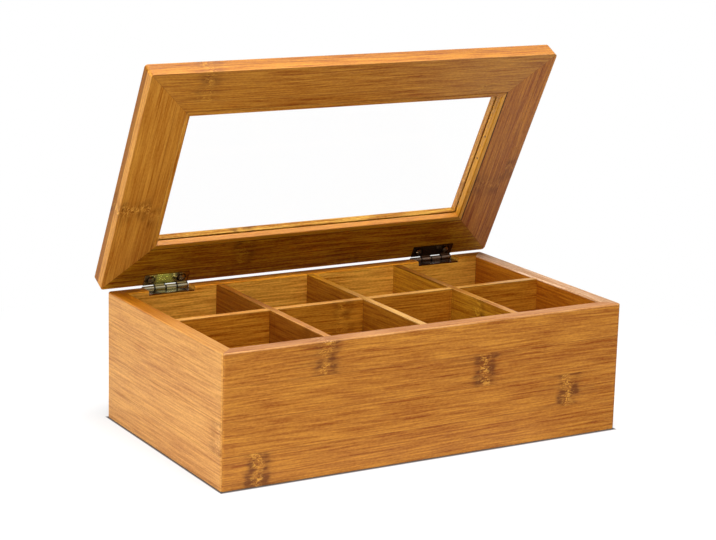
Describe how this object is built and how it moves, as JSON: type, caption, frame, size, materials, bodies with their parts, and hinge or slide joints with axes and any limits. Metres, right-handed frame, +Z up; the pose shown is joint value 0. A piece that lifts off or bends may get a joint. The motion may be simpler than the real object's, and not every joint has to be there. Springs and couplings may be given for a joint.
{
  "type": "tea bag organizer box",
  "caption": "Rectangular bamboo tea box with a lattice of open compartments and a framed, glazed lid that swings up on small butt hinges.",
  "frame": {"origin": "middle of the underside of the box, on the plane it stands on", "axes": "+X along the box to the right seen from the front, +Y from the front to the hinge side, +Z up; the lid is drawn 62.6 degrees open"},
  "size_m": [0.3236, 0.193, 0.2622],
  "materials": {
    "bamboo": "satin clear lacquer over caramel bamboo",
    "bamboo_board": "satin clear lacquer over caramel bamboo",
    "bamboo_bead": "satin clear lacquer over honey bamboo",
    "clear_pane": "clear polished",
    "hinge_bronze": "dark antique bronze plating, glossy",
    "pin_steel": "dark plated",
    "screw_steel": "dark plated"
  },
  "bodies": {
    "box": {"front_panel": "bamboo", "rear_panel": "bamboo", "left_panel": "bamboo", "right_panel": "bamboo", "bottom_panel": "bamboo_board", "long_divider": "bamboo_board", "left_cross_divider": "bamboo_board", "centre_cross_divider": "bamboo_board", "right_cross_divider": "bamboo_board", "left_hinge_body_leaf": "hinge_bronze", "right_hinge_body_leaf": "hinge_bronze", "left_hinge_pin": "pin_steel", "right_hinge_pin": "pin_steel", "body_leaf_screws": "screw_steel"},
    "lid": {"lid_front_rail": "bamboo", "lid_rear_rail": "bamboo", "lid_left_rail": "bamboo", "lid_right_rail": "bamboo", "window_pane": "clear_pane", "front_glazing_bead": "bamboo_bead", "rear_glazing_bead": "bamboo_bead", "left_glazing_bead": "bamboo_bead", "right_glazing_bead": "bamboo_bead", "bead_brads": "screw_steel", "left_hinge_lid_leaf": "hinge_bronze", "right_hinge_lid_leaf": "hinge_bronze", "lid_leaf_screws": "screw_steel"}
  },
  "joints": [
    {"name": "lid_hinge", "type": "hinge", "parent": "box", "child": "lid", "pos_m": [0, 0.091, 0.0908], "axis": [-1, 0, 0], "range_deg": [-62.6, 117.4]}
  ]
}
